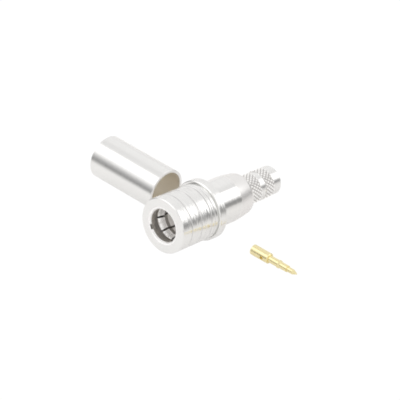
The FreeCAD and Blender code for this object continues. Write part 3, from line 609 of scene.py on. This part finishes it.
# The notches' cut faces are painted shade, dark, with a faint glow of painted light near the lip.
notch_shade_and_light = turned_metal(
    "notch_painted_shade_and_light", PLUG_NOSE, PLUG_AXIS, (0.36, 0.34, 0.32), 0.4, depth=0.1,
    zones=[(3.4, 0.35, 1.4, (0.48, 0.46, 0.43), 0.4, 0.055)],
)
notches = [
    slot_cutter(
        FIRST_NOTCH_TURN + index * 360 / NOTCH_COUNT, NOTCH_WIDTH,
        stations=(-0.1, NOTCH_REAR), radii=(MOUTH_R - 0.21, NOTCH_FLOOR_R),
    )
    for index in range(NOTCH_COUNT)
]
sleeve_mesh = turned_mesh("sleeve", sleeve_outline, PLUG_NOSE, PLUG_AXIS)
sleeve_mesh = cut_away(sleeve_mesh, notches, (sleeve_metal, notch_shade_and_light))
add_piece("coupling_sleeve_finish", sleeve_mesh, None, "sleeve", "coupling_sleeve")


# ---- Centre contact ----
# Turned brass with bright gold plating, loose beside the plug. It has a drilled pot with a sight hole
# for the cable's inner conductor, a neck, a barb that bites the insulator, a shank and the pin.
GOLD = (0.97, 0.86, 0.50)
CONTACT_YAW = math.radians(2.2)
CONTACT_END = np.array((12.21, -1.32, 0.95))
CONTACT_AXIS = np.array((math.cos(CONTACT_YAW), math.sin(CONTACT_YAW), 0.0))
POT_R, POT_LENGTH, POT_EDGE = 0.95, 3.74, 0.1
POT_BORE, POT_DEPTH, DRILL_TIP = 0.76, 3.0, 3.4
NECK_R, SHANK_R = 0.64, 0.6
BARB, BARB_R, BARB_LAND, BARB_LENGTH = 5.78, 0.75, 0.12, 0.52
PIN_START, PIN_R, PIN_TIP, POINT_LENGTH, POINT_R = 7.76, 0.46, 9.85, 0.9, 0.06
SIGHT_HOLE, SIGHT_HOLE_R, SIGHT_HOLE_TURN = 2.55, 0.3, math.radians(7.0)
contact_outline = [
    (0.0, POT_BORE), (0.0, POT_R), (POT_LENGTH - POT_EDGE, POT_R),
    (POT_LENGTH, POT_R - POT_EDGE), (POT_LENGTH, NECK_R), (BARB, NECK_R), (BARB, BARB_R),
    (BARB + BARB_LAND, BARB_R), (BARB + BARB_LENGTH, SHANK_R), (PIN_START, SHANK_R),
    (PIN_START, PIN_R), (PIN_TIP - POINT_LENGTH, PIN_R), (PIN_TIP, POINT_R), (PIN_TIP, 0.0),
    (DRILL_TIP, 0.0), (POT_DEPTH, POT_BORE),
]
contact_metal = turned_metal(
    "contact_gold", CONTACT_END, CONTACT_AXIS, GOLD, 0.2, rings=2.0, depth=0.01, spread=0.03
)
contact_level, contact_up = frame_of(CONTACT_AXIS)
sight_way = math.cos(SIGHT_HOLE_TURN) * contact_level + math.sin(SIGHT_HOLE_TURN) * contact_up
sight_drill = turned_mesh(
    "drill", [(0.2, 0.0), (0.2, SIGHT_HOLE_R), (1.3, SIGHT_HOLE_R), (1.3, 0.0)],
    CONTACT_END + CONTACT_AXIS * SIGHT_HOLE, sight_way, 48,
)
contact_mesh = turned_mesh("contact", contact_outline, CONTACT_END, CONTACT_AXIS, 96)
contact_mesh = cut_away(contact_mesh, [sight_drill])
add_piece(
    "centre_contact_finish", contact_mesh, contact_metal, "plug_body", "centre_contact"
)


# ---- Crimp ferrule ----
# Plain tube of plated brass, loose beside the plug, that is crimped over the cable's braid on the
# stem. It was tumbled before plating, so its skin is faintly uneven. Its bore is left as drawn,
# matt and a little yellow, and gets a faint glow of painted light.
FERRULE_YAW = math.radians(181.7)
FERRULE_MOUTH = np.array((-7.24, -3.11, 3.99))
FERRULE_AXIS = np.array((math.cos(FERRULE_YAW), math.sin(FERRULE_YAW), 0.0))
FERRULE_R, FERRULE_BORE, FERRULE_LENGTH, FERRULE_EDGE = 3.99, 3.48, 14.7, 0.03
ferrule_outline = [
    (0.0, FERRULE_BORE + FERRULE_EDGE), (0.0, FERRULE_R - FERRULE_EDGE), (FERRULE_EDGE, FERRULE_R),
    (FERRULE_LENGTH - FERRULE_EDGE, FERRULE_R), (FERRULE_LENGTH, FERRULE_R - FERRULE_EDGE),
    (FERRULE_LENGTH, FERRULE_BORE + FERRULE_EDGE), (FERRULE_LENGTH - FERRULE_EDGE, FERRULE_BORE),
    (FERRULE_EDGE, FERRULE_BORE),
]
ferrule_metal = turned_metal(
    "ferrule_silver", FERRULE_MOUTH, FERRULE_AXIS, SILVER, 0.19,
    rings=2.4, around=2.4, depth=0.14, spread=0.02,
    zones=[(3.52, FERRULE_EDGE, FERRULE_LENGTH - FERRULE_EDGE, (0.83, 0.79, 0.71), 0.45, 0.035)],
)
ferrule_mesh = turned_mesh("ferrule", ferrule_outline, FERRULE_MOUTH, FERRULE_AXIS)
add_piece(
    "crimp_ferrule_finish", ferrule_mesh, ferrule_metal, "plug_body", "crimp_ferrule"
)


# ---- Floor, light and camera ----
# The photo's studio, which isn't part of the model: a white sheet between two soft boxes in a light
# tent, and a long lens from the front right.
HALF = math.sqrt(0.5)
TO_RIGHT_BOX = (HALF, HALF, 0.0)
ACROSS_BOXES = (HALF, -HALF, 0.0)
# A little over 1, so that noise in the backdrop stays above plain white.
BACKDROP = 1.04


def studio_floor():
    """White sheet. The camera sees it plain white, as the photo has no shadow, while the metal
    reflects a sheet that is half lit by the boxes and half by light from below, with the pieces'
    shadows on it. It is a little whiter on the camera's left. From 17 mm out on the right and 35 mm
    on the left it darkens towards the table beside it."""
    size = 1.5
    mesh = bpy.data.meshes.new("floor")
    corners = [(-size, -size, 0), (size, -size, 0), (size, size, 0), (-size, size, 0)]
    mesh.from_pydata(corners, [], [(0, 1, 2, 3)])
    floor = bpy.data.objects.new("floor", mesh)
    bpy.context.scene.collection.objects.link(floor)
    material, tree, make = new_material("white_paper")
    place = make("ShaderNodeTexCoord").outputs["Object"]
    to_right = make(
        "ShaderNodeVectorMath", {0: place, 1: TO_RIGHT_BOX}, operation="DOT_PRODUCT"
    ).outputs["Value"]

    def share(low, high, most=1.0):
        inputs = {"Value": to_right, "From Min": low, "From Max": high, "To Max": most}
        return make("ShaderNodeMapRange", inputs).outputs["Result"]

    past_edge = make(
        "ShaderNodeMath", {0: share(0.017, 0.082), 1: share(-0.035, -0.085, 0.72)}, operation="ADD"
    ).outputs[0]
    white = make("ShaderNodeMix", {"Factor": share(-0.012, 0.012)}, data_type="RGBA")
    white.inputs["A"].default_value = (0.955, 0.944, 0.935, 1.0)
    white.inputs["B"].default_value = (0.90, 0.885, 0.872, 1.0)
    shade = make("ShaderNodeMix", {"Factor": past_edge}, data_type="RGBA")
    tree.links.new(white.outputs["Result"], shade.inputs["A"])
    shade.inputs["B"].default_value = (0.35, 0.345, 0.34, 1.0)
    paper = make("ShaderNodeBsdfDiffuse", {"Color": shade.outputs["Result"]})
    lit_below = make("ShaderNodeEmission", {"Color": shade.outputs["Result"], "Strength": 1.03})
    sheet = make("ShaderNodeMixShader", {
        "Fac": 0.5, 1: paper.outputs["BSDF"], 2: lit_below.outputs["Emission"],
    })
    seen = make("ShaderNodeEmission", {"Color": (1, 1, 1, 1), "Strength": BACKDROP})
    mix = make("ShaderNodeMixShader", {
        "Fac": make("ShaderNodeLightPath").outputs["Is Camera Ray"],
        1: sheet.outputs["Shader"], 2: seen.outputs["Emission"],
    })
    make("ShaderNodeOutputMaterial", {"Surface": mix.outputs["Shader"]})
    mesh.materials.append(material)


studio_floor()


def studio_light():
    """Light tent with a soft box on the camera's left and right. A direction is split into its
    share towards the boxes, across them and up: height is up / towards and width is across /
    towards. Each box is brighter than the tent between its bottom, its top and its ends. Below it
    is a darker gap down to the table, and above it a slightly darker frame."""
    world = bpy.data.worlds.new("light_tent")
    bpy.context.scene.world = world
    world.use_nodes = True
    tree = world.node_tree
    tree.nodes.clear()
    make = add_nodes(tree)
    way = make("ShaderNodeTexCoord").outputs["Generated"]

    def dot(vector):
        node = make("ShaderNodeVectorMath", {0: way, 1: vector}, operation="DOT_PRODUCT")
        return node.outputs["Value"]

    def math_node(operation, first, second=0.0):
        return make("ShaderNodeMath", {0: first, 1: second}, operation=operation).outputs[0]

    def step(value, low, high):
        """Soft step from 0 at low to 1 at high: share squared * (3 - 2 * share)."""
        share = make("ShaderNodeMapRange", {"Value": value, "From Min": low, "From Max": high})
        share = share.outputs["Result"]
        rest = make("ShaderNodeMath", {0: share, 1: -2.0, 2: 3.0}, operation="MULTIPLY_ADD").outputs[0]
        return math_node("MULTIPLY", math_node("MULTIPLY", share, share), rest)

    def other(share):
        return math_node("SUBTRACT", 1.0, share)

    side = dot(TO_RIGHT_BOX)
    towards = math_node("MAXIMUM", math_node("ABSOLUTE", side), 0.02)
    height = math_node("DIVIDE", dot((0.0, 0.0, 1.0)), towards)
    width = math_node("DIVIDE", math_node("ABSOLUTE", dot(ACROSS_BOXES)), towards)
    on_right = step(side, -0.02, 0.02)

    def for_side(left, right):
        """One value for the left box and one for the right."""
        return math_node("ADD", math_node("MULTIPLY", on_right, right - left), left)

    over_bottom = step(height, for_side(0.03, 0.07), for_side(1.05, 0.42))
    over_top = step(height, for_side(1.75, 0.90), for_side(1.95, 1.02))
    over_frame = step(height, for_side(3.2, 1.02), for_side(8.0, 1.8))
    slanted = math_node("SUBTRACT", width, math_node("MULTIPLY", height, for_side(0.0, 0.5)))
    past_end = step(slanted, for_side(0.90, 0.18), for_side(1.25, 0.32))
    box = math_node("MULTIPLY", over_bottom, other(over_top))
    box = math_node("MULTIPLY", box, other(past_end))
    gap = math_node("MULTIPLY", other(over_bottom), other(step(width, 1.3, 1.6)))
    frame_edge = math_node("MULTIPLY", over_top, other(over_frame))
    tent, gap_dims, frame_dims, box_adds = 0.945, 0.625, 0.1, 0.6
    level = math_node("SUBTRACT", tent, math_node("MULTIPLY", gap, gap_dims))
    level = math_node("SUBTRACT", level, math_node("MULTIPLY", frame_edge, frame_dims))
    level = math_node("ADD", level, math_node("MULTIPLY", box, box_adds))
    lit = make("ShaderNodeBackground", {"Color": (1.0, 0.99, 0.984, 1.0), "Strength": level})
    seen = make("ShaderNodeBackground", {"Color": (1, 1, 1, 1), "Strength": BACKDROP})
    mix = make("ShaderNodeMixShader", {
        "Fac": make("ShaderNodeLightPath").outputs["Is Camera Ray"],
        1: lit.outputs[0], 2: seen.outputs[0],
    })
    make("ShaderNodeOutputWorld", {"Surface": mix.outputs["Shader"]})


studio_light()


def photo_camera():
    """Long lens from the front right, as the outlines in the photo fit: it aims at a point behind
    the plug's mouth from 440 mm away."""
    aim = Vector((-4.867, 2.883, 0.0))
    distance, azimuth, elevation = 439.755, math.radians(44.828), math.radians(37.789)
    level = math.cos(elevation)
    way = Vector((math.sin(azimuth) * level, -math.cos(azimuth) * level, math.sin(elevation)))
    lens = bpy.data.cameras.new("photo_camera")
    lens.sensor_width = 36.0
    lens.lens = 225.0
    lens.clip_start = 0.01
    lens.clip_end = 10.0
    camera = bpy.data.objects.new("photo_camera", lens)
    camera.location = (aim + way * distance) * MM
    camera.rotation_euler = (-way).to_track_quat("-Z", "Y").to_euler()
    bpy.context.scene.collection.objects.link(camera)
    bpy.context.scene.camera = camera


photo_camera()

scene = bpy.context.scene
scene.view_settings.view_transform = "Standard"
scene.view_settings.look = "None"
scene.cycles.filter_width = 1.9
scene.cycles.max_bounces = 16
scene.cycles.glossy_bounces = 12
scene.cycles.diffuse_bounces = 4
